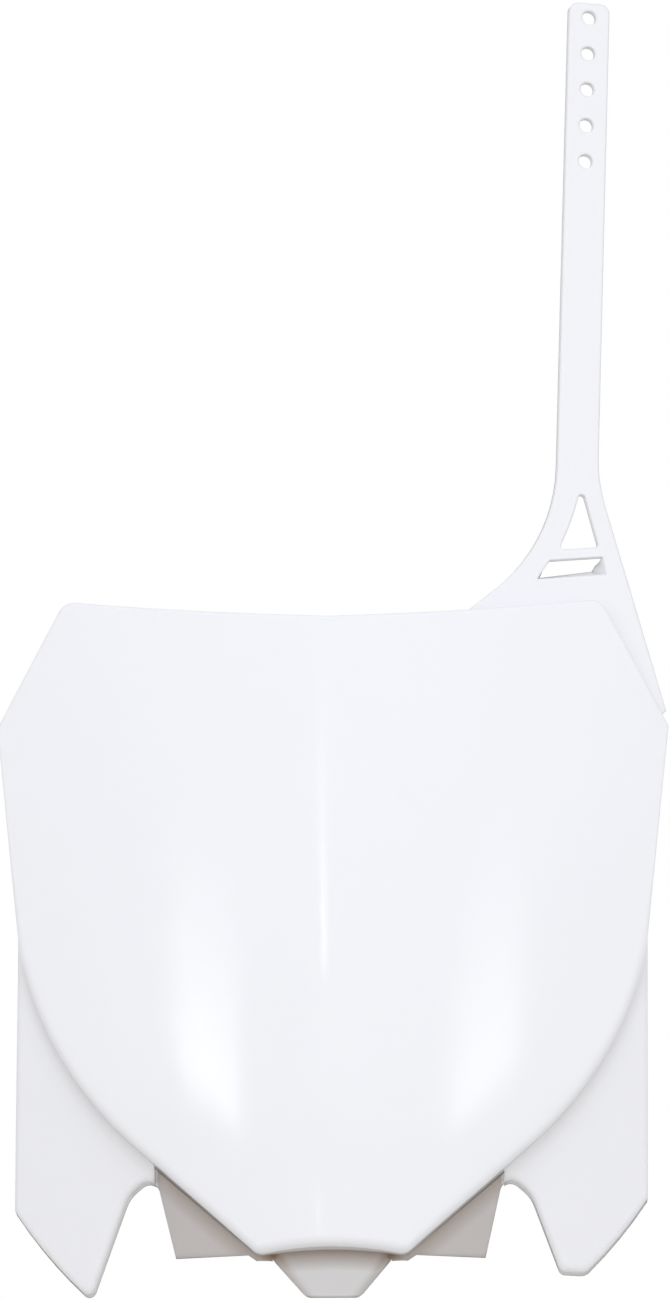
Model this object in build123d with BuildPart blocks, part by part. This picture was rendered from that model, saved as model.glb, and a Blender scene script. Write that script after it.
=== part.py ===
import os
from math import cos, radians, sin, sqrt, tan

from build123d import *

os.makedirs("parts", exist_ok=True)

# Drawn in millimetres: x to the right as seen from the front, y to the back, z up

# Walls
wall = 2.5
lip_wall = 2.2
lip_depth = 12.0

# Outline seen from the front
board_width = 245.0
side_point_height = 200.5
top_corner_width = 196.0
top_corner_height = 246.4
top_dip = 10.0
top_sag = 1.7
waist_width = 228.0
waist_height = 122.0
right_ear_reach = 113.6
left_ear_reach = 115.6
right_ear_corner_height = 29.9
left_ear_corner_height = 25.9
ear_chamfer_width = 30.1
ear_chamfer_height = 34.5
ear_chamfer_bow = 1.5
top_corner_round = 6.0

# Curved face of the shield
cross_radius = 335.0
crown_radius = 945.0
crown_height = 123.0
keel_slope_low = 0.18
keel_slope_high = 0.03
ridge_round = 12.0

# Edge of the raised shield, which runs out of the sides just below the waist
foot_middle_height = 6.9
foot_width = 52.6
foot_height = 4.5
bend_width = 142.4
bend_height = 44.9
flank_runout = 0.8
foot_corner_round = 5.0
shield_edge_round = 3.5
rim_round = 1.2

# Ears, set back from the shield
ear_step = 3.0
ear_lean = 4.6
step_round = 6.0
ear_rim_round = 1.5

# Notches between the ears and the skirt
notch_crest_width = 125.4
notch_offset = -1.1
notch_crest_height = 36.3
notch_shoulder_out = 9.6
notch_shoulder_drop = 7.3
notch_ear_angle = 21.5
notch_skirt_angle = 13.6
notch_crest_round = 4.0
notch_shoulder_round = 12.0
right_ear_foot = 2.3
right_foot_round = 5.0
ear_tip_round = 2.6

# Skirt behind the shield's lower edge, with the tongue in its middle
skirt_depth = 20.5
skirt_lean = 13.0
skirt_flare = 25.0
flange_outer_inset = 5.7
flange_outer_height = 8.4
flange_inner_width = 60.0
flange_inner_height = 6.0
skirt_low_width = 54.0
skirt_low_height = 3.8
tongue_root_width = 41.8
tongue_tip_width = 18.2
tongue_tip_height = -7.7
tongue_tip_round = 3.0
tongue_bevel_width = 2.8
tongue_bevel_depth = 1.6
seat_reach = 12.0
seat_width = 24.0
seat_length = 10.0
seat_relief = 0.2

# Strap and its web
strap_yaw = 14.2
strap_setback = 3.5
strap_thickness = 2.4
strap_width = 15.6
strap_lean = 1.93
strap_offset = -8.1
strap_tip_height = 475.6
strap_end_round = 3.7
web_height = 296.5
web_left_reach = 38.9
web_left_height = 249.4
web_left_run = 15.0
web_right_reach = 24.5
web_right_height = 206.5
web_right_bend = 291.2
web_right_round = 60.0
web_overlap = 4.5
strap_hole = 5.3
strap_hole_pitch = 14.0
strap_hole_count = 5
strap_hole_margin = 5.7

# Window and slot in the web
window_offset = -6.8
window_top_height = 290.0
window_left = -15.7
window_right = -0.4
window_base_height = 265.8
window_bow = 0.9
window_round = 1.3
slot_offset = -9.1
slot_height = 261.7
slot_tilt = 6.8
slot_top_width = 20.1
slot_drop = 6.8
slot_left_slant = 5.9
slot_right_slant = 1.1
scoop_depth = 7.0
scoop_wall = 1.8
scoop_left_taper = 3.6
scoop_right_taper = 4.0
scoop_left_rise = 2.2
scoop_right_rise = 3.4

# Stud that the strap buttons on
stud_clearance = 0.8
stud_height = 225.0
stud_offset = -8.0
stud_head = 6.6
stud_head_length = 2.6

# Limits of the drawing, past every edge of the board
reach = 0.62 * board_width
front_limit = -10.0
back_limit = 90.0


def face_depth(x, z):
    crown = (z - crown_height) ** 2 / (2 * crown_radius)
    keel = keel_slope_low + (keel_slope_high - keel_slope_low) * z / top_corner_height
    ridge = sqrt(x**2 + ridge_round**2) - ridge_round
    return crown + x**2 / (2 * cross_radius) + keel * ridge


def along(edge):
    return [edge @ 0.1, edge @ 0.5, edge @ 0.9]


def runs_back(edge):
    return abs((edge @ 0).Y - (edge @ 1).Y) > 0.3 * back_limit


def straight(outline, grow):
    """Prism along y with the outline grown to all sides."""
    with BuildPart() as prism:
        with BuildSketch(Plane.XZ.offset(-back_limit)):
            add(outline)
            if grow:
                offset(amount=grow, kind=Kind.INTERSECTION, mode=Mode.REPLACE)
        extrude(amount=back_limit - front_limit)
    return prism.part


# Outlines on the front plane: raised shield, rim, right notch, foot of the right ear
with BuildSketch() as shield_edge:
    with BuildLine():
        foot_corner = (foot_width / 2, foot_height)
        ThreePointArc((-foot_width / 2, foot_height), (0, foot_middle_height), foot_corner)
        for side in (1, -1):
            diagonal = Line((side * foot_width / 2, foot_height), (side * bend_width / 2, bend_height))
            flank_end = (side * (waist_width / 2 + flank_runout), waist_height)
            flank = TangentArc(diagonal @ 1, flank_end, tangent=diagonal % 1)
            end = PolarLine(flank @ 1, top_corner_height, direction=flank % 1)
            Line(end @ 1, (0, (end @ 1).Y))
    make_face()

lowest = left_ear_corner_height - 1.5 * ear_chamfer_height
top_middle = (0, top_corner_height - top_dip)
top_quarter_height = top_corner_height - top_dip / 2 - top_sag
right_and_left = (
    (1, right_ear_reach, right_ear_corner_height),
    (-1, left_ear_reach, left_ear_corner_height),
)
with BuildSketch() as rim_edge:
    with BuildLine():
        for side, ear_reach, ear_corner_height in right_and_left:
            top_corner = (side * top_corner_width / 2, top_corner_height)
            ear_corner = (side * ear_reach, ear_corner_height)
            ear_end = Vector(side * (ear_reach - ear_chamfer_width), ear_corner_height - ear_chamfer_height)
            ThreePointArc(top_middle, (side * top_corner_width / 4, top_quarter_height), top_corner)
            Polyline(
                top_corner,
                (side * board_width / 2, side_point_height),
                (side * waist_width / 2, waist_height),
                ear_corner,
            )
            ear_chamfer = SagittaArc(ear_corner, ear_end, side * ear_chamfer_bow)
            heading = ear_chamfer % 1
            below = ear_end + heading * ((lowest - ear_end.Y) / heading.Y)
            Polyline(ear_end, below, (0, lowest))
    make_face()

with BuildSketch() as notch_edge:
    with BuildLine():
        crest = (notch_crest_width / 2, notch_crest_height)
        shoulder = (crest[0] + notch_shoulder_out, crest[1] - notch_shoulder_drop)
        skirt_run = (crest[1] - 2 * lowest) * tan(radians(notch_skirt_angle))
        ear_run = (shoulder[1] - 2 * lowest) * tan(radians(notch_ear_angle))
        Polyline(
            (crest[0] - skirt_run, 2 * lowest),
            crest,
            shoulder,
            (shoulder[0] + ear_run, 2 * lowest),
            close=True,
        )
    make_face()
    fillet(notch_edge.vertices().sort_by_distance(crest)[0], notch_crest_round)
    fillet(notch_edge.vertices().sort_by_distance(shoulder)[0], notch_shoulder_round)

with BuildSketch() as right_foot:
    with Locations((right_ear_reach, right_ear_foot)):
        Rectangle(right_ear_reach, 4 * right_ear_corner_height, align=(Align.CENTER, Align.MAX))


def rim_prism(inset):
    """Everything inside the board's outline, less an inset."""
    with BuildPart() as prism:
        add(straight(rim_edge.sketch, -inset))
        for x in (top_corner_width / 2, -top_corner_width / 2):
            corners = prism.edges().filter_by(runs_back)
            fillet(corners.sort_by_distance((x, 0, top_corner_height))[0], top_corner_round - inset)
    return prism.part


def notch_prisms(grow):
    """The two notches and the space under the right ear, grown to all sides."""
    right_notch = straight(notch_edge.sketch, grow)
    under_right_ear = straight(right_foot.sketch, grow)
    aside = Location((notch_offset, 0, 0))
    return [right_notch.moved(aside), right_notch.mirror(Plane.YZ).moved(aside), under_right_ear]


def rounded_foot(prism, inset):
    """The prism with its two lower corners rounded."""
    with BuildPart() as rounded:
        add(prism)
        for x in (foot_width / 2, -foot_width / 2):
            corners = rounded.edges().filter_by(runs_back)
            fillet(corners.sort_by_distance((x, 0, foot_height))[0], foot_corner_round - inset)
    return rounded.part


skirt_place = (
    Location((0, skirt_depth, foot_height))
    * Location((0, 0, 0), (-skirt_lean, 0, 0))
    * Location((0, 0, -foot_height))
)


def shield_plug(inset):
    """Everything inside the raised shield's edge."""
    return rounded_foot(straight(shield_edge.sketch, -inset), inset)


def skirt_plug(inset):
    """Everything inside the skirt, which leans and flares to the back."""
    with BuildPart() as prism:
        for depth in (0, back_limit):
            spread = depth * tan(radians(skirt_flare)) - inset / cos(radians(skirt_flare))
            with BuildSketch(Plane.XZ.offset(-depth)):
                add(shield_edge.sketch)
                if spread:
                    offset(amount=spread, kind=Kind.INTERSECTION, mode=Mode.REPLACE)
        loft(ruled=True)
    with BuildPart() as middle:
        add(rounded_foot(prism.part, inset).moved(skirt_place))
        with Locations((notch_offset, 0, 0)):
            Box(notch_crest_width, 8 * back_limit, 6 * top_corner_height, mode=Mode.INTERSECT)
    return middle.part


# Solid behind the curved face, lofted through level sections
stations = [reach * share for share in (-1, -0.65, -0.35, -0.15, -0.06, 0, 0.06, 0.15, 0.35, 0.65, 1)]
levels = [top_corner_height * share for share in (-0.2, 0.15, 0.5, 0.85, 1.2)]
with BuildPart() as face_block:
    for level in levels:
        with BuildSketch(Plane.XY.offset(level)):
            with BuildLine():
                curve = Spline(*[(x, face_depth(x, level)) for x in stations])
                Polyline(curve @ 1, (reach, 1.3 * back_limit), (-reach, 1.3 * back_limit), curve @ 0)
            make_face()
    loft()

def on_shield(edge):
    return all(abs(face_depth(p.X, p.Z) - p.Y) < 0.3 for p in along(edge))


with BuildPart() as rounded_shield:
    add(face_block.part)
    add(shield_plug(0), mode=Mode.INTERSECT)
    edges_of_face = rounded_shield.edges().filter_by(on_shield)
    fillet(edges_of_face.filter_by(lambda edge: edge.center().Z < waist_height), shield_edge_round)

# The ears continue the same curve, leaning back from the waist
pivot_depth = face_depth(waist_width / 2, waist_height)
ear_place = (
    Location((0, pivot_depth + ear_step, waist_height))
    * Location((0, 0, 0), (ear_lean, 0, 0))
    * Location((0, -pivot_depth, -waist_height))
)
with BuildPart() as ears:
    add(face_block.part.moved(ear_place))
    with Locations((notch_offset, 0, 0)):
        Box(notch_crest_width, 8 * back_limit, 6 * top_corner_height, mode=Mode.SUBTRACT)
    with Locations((0, 0, waist_height + 3 * wall)):
        Box(
            4 * reach,
            8 * back_limit,
            2 * top_corner_height,
            align=(Align.CENTER, Align.CENTER, Align.MIN),
            mode=Mode.SUBTRACT,
        )


def on_ears(edge):
    places = [(ear_place.inverse() * Location((p.X, p.Y, p.Z))).position for p in along(edge)]
    return all(abs(face_depth(p.X, p.Z) - p.Y) < 0.3 for p in places)


rim_inside = rim_prism(lip_wall)
rim_outside = rim_prism(0)
with BuildPart() as board_prism:
    add(rim_outside)
    for prism in notch_prisms(0):
        add(prism, mode=Mode.SUBTRACT)
    ends = board_prism.edges().filter_by(runs_back).sort_by(Axis.Z)
    left_tip = ends.filter_by(lambda edge: edge.center().X < notch_offset - notch_crest_width / 2)[0]
    right_ends = ends.filter_by(lambda edge: edge.center().X > notch_offset + notch_crest_width / 2)
    right_tips = right_ends[:2].sort_by(Axis.X)
    fillet(right_tips[1], right_foot_round)
    fillet([left_tip, right_tips[0]], ear_tip_round)

with BuildPart() as outside:
    add(rounded_shield.part)
    add(ears.part)
    add(rim_outside, mode=Mode.INTERSECT)
    core = rim_inside.solid()
    inner_ear_edges = outside.edges().filter_by(on_ears).filter_by(lambda edge: core.is_inside(edge @ 0.5))
    step = inner_ear_edges.filter_by(lambda edge: abs(edge.center().X - notch_offset) > notch_crest_width / 2)
    fillet(step, step_round)
    face_rim = outside.edges().filter_by(on_shield)
    fillet(face_rim.filter_by(lambda edge: edge.center().Z > side_point_height), rim_round)
    add(skirt_plug(0))
    add(board_prism.part, mode=Mode.INTERSECT)
    below_step = notch_crest_height - notch_shoulder_drop / 2
    low_ear_edges = outside.edges().filter_by(on_ears).filter_by(lambda edge: edge.center().Z < below_step)
    ear_side = min(waist_width / 2, right_ear_reach, left_ear_reach) - wall
    fillet(low_ear_edges.filter_by(lambda edge: abs(edge.center().X) < ear_side), ear_rim_round)

# The hollow leaves a lip along the rim and the ears
with BuildPart() as shield_hollow:
    add(face_block.part.moved(Location((0, wall, 0))))
    add(shield_plug(wall), mode=Mode.INTERSECT)
    add(skirt_plug(wall))
    add(rim_inside, mode=Mode.INTERSECT)
with BuildPart() as ear_hollow:
    add(ears.part.moved(Location((0, wall, 0))))
    add(rim_inside, mode=Mode.INTERSECT)
    for prism in notch_prisms(lip_wall):
        add(prism, mode=Mode.SUBTRACT)
with BuildPart() as behind_lip:
    add(face_block.part)
    with Locations((0, 0, waist_height)):
        Box(
            4 * reach,
            8 * back_limit,
            4 * top_corner_height,
            align=(Align.CENTER, Align.CENTER, Align.MAX),
            mode=Mode.SUBTRACT,
        )
    add(ears.part)

# Strap and web, flat in a plane that follows the right side's sweep
corner_depth = face_depth(top_corner_width / 2, top_corner_height) + strap_setback
yaw = radians(strap_yaw)
strap_plane = Plane(
    origin=(top_corner_width / 2, corner_depth, 0),
    x_dir=(cos(yaw), sin(yaw), 0),
    z_dir=(sin(yaw), -cos(yaw), 0),
)


def strap_middle(height):
    return strap_offset + (height - web_height) * tan(radians(strap_lean))


with BuildPart() as strap:
    with BuildSketch(strap_plane) as strap_outline:
        with BuildLine():
            half = strap_width / 2
            left_tip = (strap_middle(strap_tip_height) - half, strap_tip_height)
            right_tip = (strap_middle(strap_tip_height) + half, strap_tip_height)
            right_bend = (strap_middle(web_right_bend) + half, web_right_bend)
            left_side = Line(left_tip, (strap_offset - half, web_height))
            web_curve = TangentArc(left_side @ 1, (-web_left_reach, web_left_height), tangent=left_side % 1)
            web_end = PolarLine(web_curve @ 1, web_left_run, direction=web_curve % 1)
            Polyline(
                web_end @ 1,
                web_end @ 1 - Vector(0, web_overlap),
                (-web_overlap, top_corner_height - 1.5 * web_overlap),
                (web_right_reach - web_overlap, web_right_height - web_overlap),
                (web_right_reach, web_right_height),
                right_bend,
                right_tip,
                left_tip,
            )
        make_face()
        fillet(strap_outline.vertices().sort_by_distance(right_bend)[0], web_right_round)
        fillet(strap_outline.vertices().sort_by(Axis.Y)[-2:], strap_end_round)
    extrude(amount=-strap_thickness)
    with BuildSketch(strap_plane):
        for number in range(strap_hole_count):
            hole_height = strap_tip_height - strap_hole_margin - number * strap_hole_pitch
            with Locations((strap_middle(hole_height), hole_height)):
                Circle(strap_hole / 2)
    extrude(amount=strap_thickness, both=True, mode=Mode.SUBTRACT)
    with BuildSketch(strap_plane) as window:
        with BuildLine():
            tilt = tan(radians(slot_tilt))
            window_top = (window_offset, window_top_height)
            left_foot = (window_left, window_base_height + (window_left - window_offset) * tilt)
            right_foot_point = (window_right, window_base_height + (window_right - window_offset) * tilt)
            SagittaArc(window_top, left_foot, window_bow)
            Polyline(left_foot, right_foot_point, window_top)
        make_face()
        fillet(window.vertices(), window_round)
    extrude(amount=strap_thickness, both=True, mode=Mode.SUBTRACT)

# Scoop behind the slot: a wedge open at the top, with a tapering floor and cheeks
slot_plane = Plane(strap_plane.location * Location((slot_offset, slot_height, 0), (0, 0, slot_tilt)))
slot_half = slot_top_width / 2
slot_left = -slot_half - slot_left_slant
slot_right = slot_half + slot_right_slant
floor_left = (slot_left + scoop_left_taper, scoop_left_rise - slot_drop)
floor_right = (slot_right - scoop_right_taper, scoop_right_rise - slot_drop)
with BuildPart() as scoop:
    with BuildSketch(slot_plane.offset(-strap_thickness / 2)):
        with BuildLine():
            Polyline(
                (-slot_half - scoop_wall, 0),
                (slot_left - scoop_wall, -slot_drop - scoop_wall),
                (slot_right + scoop_wall, -slot_drop - scoop_wall),
                (slot_half + scoop_wall, 0),
                close=True,
            )
        make_face()
    with BuildSketch(slot_plane.offset(-scoop_depth)):
        with BuildLine():
            Polyline(
                (floor_left[0] - scoop_wall, floor_left[1] + scoop_wall),
                (floor_left[0] - scoop_wall, floor_left[1] - scoop_wall),
                (floor_right[0] + scoop_wall, floor_right[1] - scoop_wall),
                (floor_right[0] + scoop_wall, floor_right[1] + scoop_wall),
                close=True,
            )
        make_face()
    loft(ruled=True)
with BuildPart() as slot:
    with BuildSketch(slot_plane.offset(strap_thickness / 4)):
        with BuildLine():
            Polyline(
                (-slot_half, 0),
                (slot_left, -slot_drop),
                (slot_right, -slot_drop),
                (slot_half, 0),
                close=True,
            )
        make_face()
    with BuildSketch(slot_plane.offset(-scoop_depth - strap_thickness / 4)):
        with BuildLine():
            Polyline((-slot_half, 0), floor_left, floor_right, (slot_half, 0), close=True)
        make_face()
    loft(ruled=True)

# Stud behind the top right corner, square to the strap's plane
stud_x = top_corner_width / 2 + stud_offset * cos(yaw)
stud_root = (stud_x, face_depth(stud_x, stud_height) + wall / 2, stud_height)
neck_length = wall / 2 + strap_thickness + stud_clearance
with BuildPart(Plane(origin=stud_root, z_dir=(-sin(yaw), cos(yaw), 0))) as stud:
    neck_radius = (strap_hole - stud_clearance) / 2
    Cylinder(neck_radius, neck_length, align=(Align.CENTER, Align.CENTER, Align.MIN))
    with Locations((0, 0, neck_length)):
        Cone(stud_head / 2, neck_radius / 2, stud_head_length, align=(Align.CENTER, Align.CENTER, Align.MIN))

# The tongue ends square; a flat seat in its upper face lies at the frame's origin
lean = radians(skirt_lean)
flare = tan(radians(skirt_flare))
foot_arch = (foot_middle_height - foot_height) * cos(lean)
tongue_reach = (foot_height + foot_arch - tongue_tip_height) / (sin(lean) + flare * cos(lean))
tongue_end = Location((0, tongue_reach, foot_middle_height - tongue_reach * flare), (-skirt_flare, 0, 0))
seat_floor = foot_middle_height + (wall - seat_relief) / cos(radians(skirt_flare)) - seat_reach * flare
seat = skirt_place * Location((0, seat_reach, seat_floor), (-skirt_flare, 0, 0))


def on_tongue(x, height):
    """Point of the tongue's lower face, measured from the seat."""
    dip = (foot_middle_height - foot_height) * (2 * x / foot_width) ** 2 * cos(radians(skirt_flare))
    level = seat_relief - wall - dip
    slope = radians(skirt_lean + skirt_flare)
    return Vector(x, (seat.position.Z + level * cos(slope) - height) / sin(slope), level)


# Bevel along the right side of the tongue's lower face
tongue_root = on_tongue(tongue_root_width / 2, skirt_low_height)
tongue_side = on_tongue(tongue_tip_width / 2, tongue_tip_height) - tongue_root
outward = tongue_side.cross(Vector(0, 0, 1)).normalized()
bevel_plane = Plane(
    origin=tongue_root - outward * tongue_bevel_width,
    x_dir=tongue_side,
    z_dir=outward * tongue_bevel_depth - Vector(0, 0, 1) * tongue_bevel_width,
)
with BuildPart(bevel_plane) as tongue_bevel:
    Box(2 * tongue_side.length, 4 * wall, 4 * wall, align=(Align.MIN, Align.CENTER, Align.MIN))
right_bevel = tongue_bevel.part.moved(seat)

with BuildPart() as number_board:
    add(outside.part)
    add(shield_hollow.part, mode=Mode.SUBTRACT)
    add(ear_hollow.part, mode=Mode.SUBTRACT)
    add(behind_lip.part.moved(Location((0, lip_depth, 0))), mode=Mode.SUBTRACT)
    with BuildSketch(Plane.XZ) as below_skirt:
        with BuildLine():
            tongue_tip = (tongue_tip_width / 2, tongue_tip_height)
            Polyline(
                (0, tongue_tip_height),
                tongue_tip,
                (tongue_root_width / 2, skirt_low_height),
                (skirt_low_width / 2, skirt_low_height),
                (flange_inner_width / 2, flange_inner_height),
                (notch_crest_width / 2 - flange_outer_inset, flange_outer_height),
                (notch_crest_width / 2, flange_outer_height),
                (notch_crest_width / 2, 3 * lowest),
                (0, 3 * lowest),
            )
            mirror(about=Plane.YZ)
        make_face()
        tips = below_skirt.vertices().sort_by_distance((0, tongue_tip_height))[:2]
        fillet(tips, tongue_tip_round)
    extrude(amount=2 * back_limit, both=True, mode=Mode.SUBTRACT)
    with Locations(seat):
        Box(
            seat_width,
            seat_length,
            wall,
            align=(Align.CENTER, Align.CENTER, Align.MIN),
            mode=Mode.SUBTRACT,
        )
    with Locations(skirt_place * tongue_end):
        Box(
            tongue_root_width,
            back_limit,
            4 * wall,
            align=(Align.CENTER, Align.MIN, Align.CENTER),
            mode=Mode.SUBTRACT,
        )
    add(right_bevel, mode=Mode.SUBTRACT)
    add(right_bevel.mirror(Plane.YZ), mode=Mode.SUBTRACT)
    add(strap.part)
    add(scoop.part)
    add(slot.part, mode=Mode.SUBTRACT)
    add(stud.part)

board = number_board.part.moved(Location(-seat.position))
board.label = "number_board"
export_step(board, "parts/number_board.step")
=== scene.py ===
from math import cos, e, pi, radians, sin

import bpy
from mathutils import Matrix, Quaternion, Vector

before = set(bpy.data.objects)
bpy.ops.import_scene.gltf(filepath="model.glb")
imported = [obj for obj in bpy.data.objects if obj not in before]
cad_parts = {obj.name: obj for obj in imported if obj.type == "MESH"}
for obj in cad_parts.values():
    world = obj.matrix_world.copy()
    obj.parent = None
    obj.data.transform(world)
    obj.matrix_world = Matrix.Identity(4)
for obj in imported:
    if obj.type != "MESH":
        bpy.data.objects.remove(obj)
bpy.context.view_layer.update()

scene = bpy.context.scene
scene.view_settings.view_transform = "Standard"


class Value:
    """One output of a shader node. Arithmetic on values adds Math nodes."""

    def __init__(self, socket):
        self.socket = socket

    def maths(self, operation, *terms):
        tree = self.socket.id_data
        made = tree.nodes.new("ShaderNodeMath")
        made.operation = operation
        for place, term in zip(made.inputs, terms):
            if isinstance(term, Value):
                tree.links.new(term.socket, place)
            else:
                place.default_value = term
        return Value(made.outputs[0])

    def __add__(self, other):
        return self.maths("ADD", self, other)

    def __sub__(self, other):
        return self.maths("SUBTRACT", self, other)

    def __rsub__(self, other):
        return self.maths("SUBTRACT", other, self)

    def __mul__(self, other):
        return self.maths("MULTIPLY", self, other)

    def __truediv__(self, other):
        return self.maths("DIVIDE", self, other)

    def __pow__(self, other):
        return self.maths("POWER", self, other)

    def __rpow__(self, other):
        return self.maths("POWER", other, self)

    def __abs__(self):
        return self.maths("ABSOLUTE", self)

    __radd__ = __add__
    __rmul__ = __mul__

    def clamped(self):
        return self.maths("MINIMUM", self.maths("MAXIMUM", self, 0.0), 1.0)

    def rising(self, start, width):
        """0 below the start, 1 from the start plus the width."""
        return ((self - start) / width).clamped()

    def falling(self, end, width):
        """1 up to the end less the width, 0 above the end."""
        return ((end - self) / width).clamped()


class Nodes:
    """The node tree of a material, lamp or world, emptied, with one way to add a node."""

    def __init__(self, owner):
        owner.use_nodes = True
        self.tree = owner.node_tree
        self.tree.nodes.clear()

    def add(self, kind, settings=(), sockets=(), output=0):
        made = self.tree.nodes.new("ShaderNode" + kind)
        for name, setting in dict(settings).items():
            setattr(made, name, setting)
        for name, value in dict(sockets).items():
            if isinstance(value, Value):
                self.tree.links.new(value.socket, made.inputs[name])
            else:
                made.inputs[name].default_value = value
        return Value(made.outputs[output]) if made.outputs else made

    def split(self, vector):
        """The x, y and z of a vector."""
        parts = self.add("SeparateXYZ", sockets={"Vector": vector})
        return [Value(part) for part in parts.socket.node.outputs]

    def mixed(self, factor, first, second):
        """The first colour at factor 0, the second at factor 1."""
        first_place, second_place, colour_result = 6, 7, 2
        sockets = {"Factor": factor, first_place: first, second_place: second}
        return self.add("Mix", {"data_type": "RGBA"}, sockets, output=colour_result)


def linear(red, green, blue):
    """Display colour, 0 to 255, as a shader colour."""
    shares = [channel / 255 for channel in (red, green, blue)]
    return [s / 12.92 if s <= 0.04045 else ((s + 0.055) / 1.055) ** 2.4 for s in shares] + [1.0]


# White moulded plastic. Places are in metres in the frame of the board.
WHITE_DEEP = linear(241, 242, 247)
WHITE_PALE = linear(243, 244, 249)
# Warm dark colour of the painted shade in the recessed skirt under the shield
SKIRT_SHADE_COLOUR = linear(124, 96, 64)

# Where the painted shade lies. The skirt leans back from the fold under the shield's lower edge
SKIRT_LEAN = radians(13.0)
FOLD_DEPTH = -0.01154
FOLD_HEIGHT = 0.00334
FOLD_SHADE_DEPTH = 0.009
SKIRT_EDGE_BLEND = 0.004
SKIRT_MIDDLE = -0.0011
SKIRT_HALF_WIDTH = 0.0623
SKIRT_SIDE_BLEND = 0.0008
SKIRT_TOP = 0.045
SKIRT_TOP_BLEND = 0.003
FLANGE_START = 0.020
FLANGE_BLEND = 0.006

# The tongue widens from its tip up to the fold
TONGUE_TIP = -0.0089
TONGUE_TIP_HALF_WIDTH = 0.0100
TONGUE_FLARE = 0.87
TONGUE_RIM_WIDTH = 0.005
TONGUE_TIP_LINE = 0.0009

# Share of painted shade in the colour, standing in for the shade under the shield's overhanging lower edge
FLANGE_PAINTED_SHADE = 0.38
TONGUE_PAINTED_SHADE = 0.10
TONGUE_RIM_PAINTED_SHADE = 0.34
TONGUE_TIP_PAINTED_SHADE = 0.50
TONGUE_FOLD_PAINTED_SHADE = 0.68
FLANGE_FOLD_PAINTED_SHADE = 0.30

# Rims look rounded, most of all on the ears
RIM_RADIUS = 0.0016
EAR_RIM_RADIUS = 0.0035
EAR_START = 0.040
EAR_BLEND = 0.015
EAR_TOP = 0.150
EAR_TOP_BLEND = 0.030

# A soft crease runs down the middle of the shield's face
CREASE_PLACE = -0.0025
CREASE_WIDTH = 0.0120
CREASE_HEIGHT = 0.00038
CREASE_TOP = 0.262
CREASE_TOP_FADE = 0.050
CREASE_FOOT = 0.030
CREASE_FOOT_FADE = 0.030
FACE_DEPTH = -0.010
FACE_BLEND = 0.006


def skirt_painted_shade(x, y, z):
    """Painted shade in the fold under the shield's lower edge, on the flanges and on the tongue, darkest along
    its rim and tip.
    """
    behind_fold = cos(SKIRT_LEAN) * (y - FOLD_DEPTH) - sin(SKIRT_LEAN) * (z - FOLD_HEIGHT)
    in_fold = behind_fold.falling(FOLD_SHADE_DEPTH, FOLD_SHADE_DEPTH)
    on_skirt = (
        behind_fold.rising(-SKIRT_EDGE_BLEND, SKIRT_EDGE_BLEND)
        * abs(x - SKIRT_MIDDLE).falling(SKIRT_HALF_WIDTH, SKIRT_SIDE_BLEND)
        * z.falling(SKIRT_TOP, SKIRT_TOP_BLEND)
    )
    on_flange = abs(x).rising(FLANGE_START, FLANGE_BLEND)
    above_tip = z - TONGUE_TIP
    from_side = TONGUE_TIP_HALF_WIDTH + TONGUE_FLARE * above_tip - abs(x)
    tongue_rim = from_side.falling(TONGUE_RIM_WIDTH, TONGUE_RIM_WIDTH) ** 1.5
    tongue_tip = above_tip.falling(TONGUE_TIP_LINE, TONGUE_TIP_LINE)
    tongue = TONGUE_PAINTED_SHADE + TONGUE_RIM_PAINTED_SHADE * tongue_rim + TONGUE_TIP_PAINTED_SHADE * tongue_tip
    fold = TONGUE_FOLD_PAINTED_SHADE - (TONGUE_FOLD_PAINTED_SHADE - FLANGE_FOLD_PAINTED_SHADE) * on_flange
    return on_skirt * (tongue * (1.0 - on_flange) + FLANGE_PAINTED_SHADE * on_flange + fold * in_fold)


def shield_crease(x, y, z):
    ridge = e ** (-1.0 * ((x - CREASE_PLACE) / CREASE_WIDTH) ** 2.0)
    in_height = z.falling(CREASE_TOP, CREASE_TOP_FADE) * z.rising(CREASE_FOOT, CREASE_FOOT_FADE)
    return ridge * in_height * y.falling(FACE_DEPTH, FACE_BLEND)


def moulded_plastic():
    finish = bpy.data.materials.new("white_moulded_plastic")
    nodes = Nodes(finish)
    place = nodes.add("TexCoord", output="Object")
    x, y, z = nodes.split(place)
    cloud = nodes.add("TexNoise", sockets={"Vector": place, "Scale": 14.0, "Detail": 2.0})
    grain = nodes.add("TexNoise", sockets={"Vector": place, "Scale": 900.0, "Detail": 2.0})
    peel = nodes.add("TexNoise", sockets={"Vector": place, "Scale": 160.0, "Detail": 1.0})
    clean = nodes.mixed(cloud, WHITE_DEEP, WHITE_PALE)
    # Painted shade: the fold, flanges and tongue under the shield's lower edge are darkened in the base colour
    colour = nodes.mixed(skirt_painted_shade(x, y, z), clean, SKIRT_SHADE_COLOUR)
    roughness = 0.08 + 0.04 * cloud + 0.02 * grain
    on_ear = abs(x).rising(EAR_START, EAR_BLEND) * z.falling(EAR_TOP, EAR_TOP_BLEND)
    rim_radius = RIM_RADIUS + (EAR_RIM_RADIUS - RIM_RADIUS) * on_ear
    rounded = nodes.add("Bevel", {"samples": 16}, {"Radius": rim_radius})
    crease = shield_crease(x, y, z)
    creased = nodes.add(
        "Bump",
        sockets={"Strength": 1.0, "Distance": CREASE_HEIGHT, "Height": crease, "Normal": rounded},
    )
    peeled = nodes.add(
        "Bump",
        sockets={"Strength": 0.012, "Distance": 0.0004, "Height": peel, "Normal": creased},
    )
    surface = nodes.add(
        "BsdfPrincipled",
        sockets={"Base Color": colour, "Roughness": roughness, "IOR": 1.49, "Normal": peeled},
    )
    nodes.add("OutputMaterial", sockets={"Surface": surface})
    return finish


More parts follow.
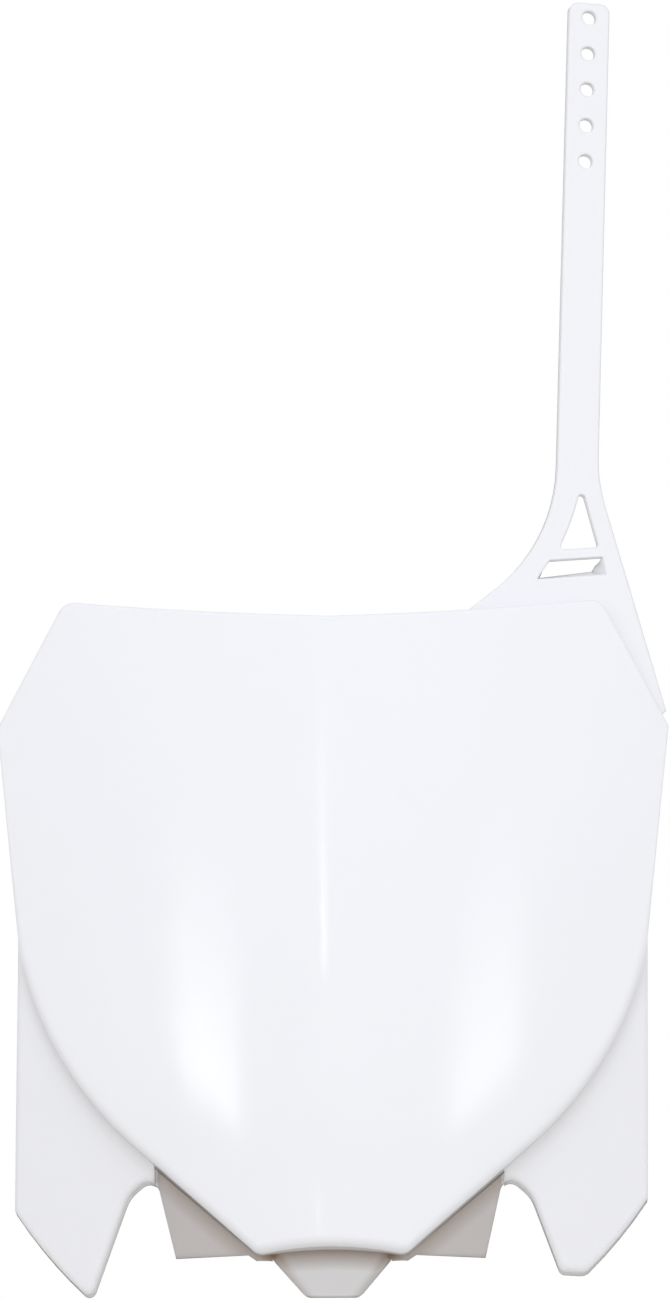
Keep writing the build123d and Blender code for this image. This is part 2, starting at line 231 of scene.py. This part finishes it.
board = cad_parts["number_board"]
plastic = moulded_plastic()
for slot in board.material_slots:
    slot.material = plastic
# Keeps light that only grazes a facet off the coarse rounded rims, which would look grainy
board.shadow_terminator_shading_offset = 0.06


def pointing(turn, rise):
    """Direction from the board, turned from straight ahead to the right and raised, in radians."""
    return Vector((sin(turn) * cos(rise), -cos(turn) * cos(rise), sin(rise)))


# Camera of the photograph: long lens, low, looking up at the board
VIEW_TARGET = Vector((0.0012, -0.01704, 0.22414))
VIEW_TURN = radians(1.2)
VIEW_RISE = radians(-13.0)
VIEW_DISTANCE = 2.4
to_camera = pointing(VIEW_TURN, VIEW_RISE)
camera_data = bpy.data.cameras.new("camera")
camera_data.sensor_width = 36.0
camera_data.lens = 182.96
camera_data.clip_end = 50.0
camera = bpy.data.objects.new("camera", camera_data)
camera.location = VIEW_TARGET + VIEW_DISTANCE * to_camera
camera.rotation_euler = (-to_camera).to_track_quat("-Z", "Y").to_euler()
scene.collection.objects.link(camera)
scene.camera = camera

# Studio: a cool dome that is brightest in front, and plain white to the camera and in reflections
DOME_LEVEL = 0.56
DOME_FRONT = 1.16
DOME_TOP = -0.15
DOME_RIGHT = 0.088
DOME_TINT = (0.990, 1.000, 1.015)
PLAIN_WHITE = (1.0, 1.0, 1.0, 1.0)
LAMP_DISTANCE = 1.8
LAMP_FADE = 1.6


def studio_dome():
    world = bpy.data.worlds.new("studio")
    scene.world = world
    nodes = Nodes(world)
    right, back, up = nodes.split(nodes.add("TexCoord", output="Generated"))
    front = (-1.0 * back).clamped()
    glow = DOME_LEVEL + DOME_FRONT * front + DOME_TOP * up + DOME_RIGHT * right
    tint = nodes.add("VectorMath", {"operation": "SCALE"}, {0: DOME_TINT, "Scale": glow})
    rays = nodes.add("LightPath").socket.node.outputs
    kinds = ("Is Camera Ray", "Is Glossy Ray", "Is Transmission Ray")
    plain = sum(Value(rays[kind]) for kind in kinds).clamped()
    lit = nodes.add("Background", sockets={"Color": nodes.mixed(plain, tint, PLAIN_WHITE)})
    nodes.add("OutputWorld", sockets={"Surface": lit})


def strip_lamp(name, aim, turn, rise, size, radiance, roll=0.0):
    """Lamp seen from the aim at a turn and rise in degrees, which fades from its lower end to its top."""
    width, height = size
    lamp = bpy.data.lights.new(name, "AREA")
    lamp.shape = "RECTANGLE"
    lamp.size = width
    lamp.size_y = height
    lamp.energy = radiance * pi * width * height
    nodes = Nodes(lamp)
    along = nodes.split(nodes.add("TexCoord", output="Object"))[1]
    level = (0.5 - along / height).clamped() ** LAMP_FADE
    nodes.add("OutputLight", sockets={"Surface": nodes.add("Emission", sockets={"Color": level})})
    holder = bpy.data.objects.new(name, lamp)
    away = pointing(radians(turn), radians(rise))
    holder.location = Vector(aim) + LAMP_DISTANCE * away
    facing = (-away).to_track_quat("-Z", "Y") @ Quaternion((0.0, 0.0, 1.0), radians(roll))
    holder.rotation_euler = facing.to_euler()
    scene.collection.objects.link(holder)


studio_dome()
# Two tall strips for the bands beside the middle of the shield, and one for its crease
BAND_STRIP = (0.26, 0.62)
strip_lamp("left_strip", (-0.044, -0.024, 0.094), turn=-29.0, rise=8.0, size=BAND_STRIP, radiance=4.2, roll=-20.0)
strip_lamp("right_strip", (0.056, -0.022, 0.094), turn=30.6, rise=7.6, size=BAND_STRIP, radiance=3.2, roll=16.0)
strip_lamp("crease_strip", (-0.0025, -0.032, 0.136), turn=-4.4, rise=18.9, size=(0.12, 0.75), radiance=3.3)
# Small lamps for the shield's foot and its lower edges
strip_lamp("foot_lamp", (-0.0043, -0.026, 0.018), turn=-9.3, rise=-4.4, size=(0.05, 0.03), radiance=22.0)
for side in (-1.0, 1.0):
    lower_edge = (0.035 * side, -0.022, 0.016)
    strip_lamp("edge_lamp", lower_edge, turn=33.7 * side, rise=-15.0, size=(0.14, 0.14), radiance=7.0)

# Plain pale floor
FLOOR_HEIGHT = -0.6
FLOOR_REACH = 30.0
corners = [(-1, -1), (1, -1), (1, 1), (-1, 1)]
floor_mesh = bpy.data.meshes.new("floor")
floor_mesh.from_pydata(
    [(FLOOR_REACH * across, FLOOR_REACH * back, FLOOR_HEIGHT) for across, back in corners],
    [],
    [(0, 1, 2, 3)],
)
floor = bpy.data.objects.new("floor", floor_mesh)
scene.collection.objects.link(floor)
floor_paint = bpy.data.materials.new("pale_floor")
floor_nodes = Nodes(floor_paint)
floor_surface = floor_nodes.add(
    "BsdfPrincipled",
    sockets={"Base Color": linear(250, 246, 240), "Roughness": 0.8},
)
floor_nodes.add("OutputMaterial", sockets={"Surface": floor_surface})
floor_mesh.materials.append(floor_paint)
